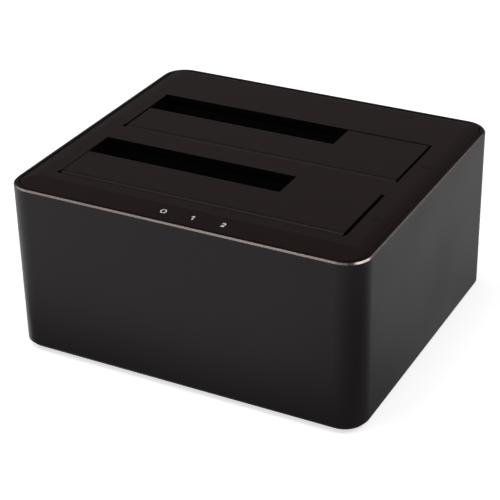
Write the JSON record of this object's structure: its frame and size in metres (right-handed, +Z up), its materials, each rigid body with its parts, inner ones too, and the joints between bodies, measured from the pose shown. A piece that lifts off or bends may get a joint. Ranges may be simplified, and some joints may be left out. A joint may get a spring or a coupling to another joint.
{
  "type": "hard drive docking station",
  "caption": "Low box with a black metal sleeve and a matt top panel; spring doors over drive wells with sockets, indicator marks in front, and ports and a rocker switch at the back",
  "frame": {"origin": "middle of the footprint on the surface that the dock stands on", "axes": "+X to the right seen from the front, +Y to the back, +Z up"},
  "size_m": [0.1274, 0.1144, 0.0624],
  "materials": {
    "shell_aluminium": "black satin anodised",
    "panel_plastic": "black, fine matt grain",
    "door_plastic": "black, fine matt grain",
    "base_plastic": "black moulded",
    "cage_plastic": "black moulded",
    "socket_plastic": "black glass-filled",
    "gold_contact": "gold flash",
    "pin_steel": "ground",
    "spring_steel": "drawn wire",
    "port_steel": "nickel plated",
    "port_plastic": "black moulded",
    "jack_metal": "nickel plated",
    "switch_plastic": "black moulded",
    "rocker_plastic": "black moulded",
    "lead_sleeve": "red wire sleeve",
    "clear_guide": "clear acrylic, white face",
    "lamp_lens": "lamp lens",
    "board_laminate": "green solder resist",
    "chip_mould": "black epoxy",
    "capacitor_can": "bare can",
    "ferrite": "pressed ferrite",
    "crystal_can": "plated can",
    "screw_steel": "zinc plated",
    "foot_rubber": "moulded rubber"
  },
  "bodies": {
    "dock_body": {"base_tray": "base_plastic", "board_screws": "screw_steel", "bridge_controller": "chip_mould", "cage_screws": "screw_steel", "capacitors": "capacitor_can", "case_screws": "screw_steel", "crystal": "crystal_can", "dc_jack_body": "port_plastic", "dc_jack_pin": "jack_metal", "dc_jack_terminals": "jack_metal", "door_pin_front": "pin_steel", "door_pin_rear": "pin_steel", "door_spring_front": "spring_steel", "door_spring_rear": "spring_steel", "drive_cage_front": "cage_plastic", "drive_cage_rear": "cage_plastic", "flash_memory": "chip_mould", "foot_front_left": "foot_rubber", "foot_front_right": "foot_rubber", "foot_rear_left": "foot_rubber", "foot_rear_right": "foot_rubber", "indicator_leds": "lamp_lens", "inductors": "ferrite", "light_guide_bay_1": "clear_guide", "light_guide_bay_2": "clear_guide", "light_guide_power": "clear_guide", "main_board": "board_laminate", "outer_shell": "shell_aluminium", "regulators": "chip_mould", "sata_contacts_front": "gold_contact", "sata_contacts_rear": "gold_contact", "sata_socket_front": "socket_plastic", "sata_socket_rear": "socket_plastic", "switch_housing": "switch_plastic", "switch_leads": "lead_sleeve", "switch_terminals": "jack_metal", "top_panel": "panel_plastic", "usb_contacts": "gold_contact", "usb_port_insulator": "port_plastic", "usb_port_shell": "port_steel"},
    "door_front_body": {"door_front": "door_plastic"},
    "door_rear_body": {"door_rear": "door_plastic"},
    "rocker_body": {"switch_rocker": "rocker_plastic"}
  },
  "joints": [
    {"name": "door_front_hinge", "type": "hinge", "parent": "dock_body", "child": "door_front_body", "pos_m": [0, -0.0397, 0.06045], "axis": [-1, 0, 0], "range_deg": [0, 90], "stiffness_Nm_per_rad": 0.0038, "springref_deg": -60.16, "deforming": ["door_spring_front"]},
    {"name": "door_rear_hinge", "type": "hinge", "parent": "dock_body", "child": "door_rear_body", "pos_m": [0, 0.0013, 0.06005], "axis": [-1, 0, 0], "range_deg": [0, 90], "stiffness_Nm_per_rad": 0.0038, "springref_deg": -60.16, "deforming": ["door_spring_rear"]},
    {"name": "power_rocker", "type": "hinge", "parent": "dock_body", "child": "rocker_body", "pos_m": [-0.027, 0.0531, 0.0234], "axis": [-1, 0, 0], "range_deg": [0, 18]}
  ]
}
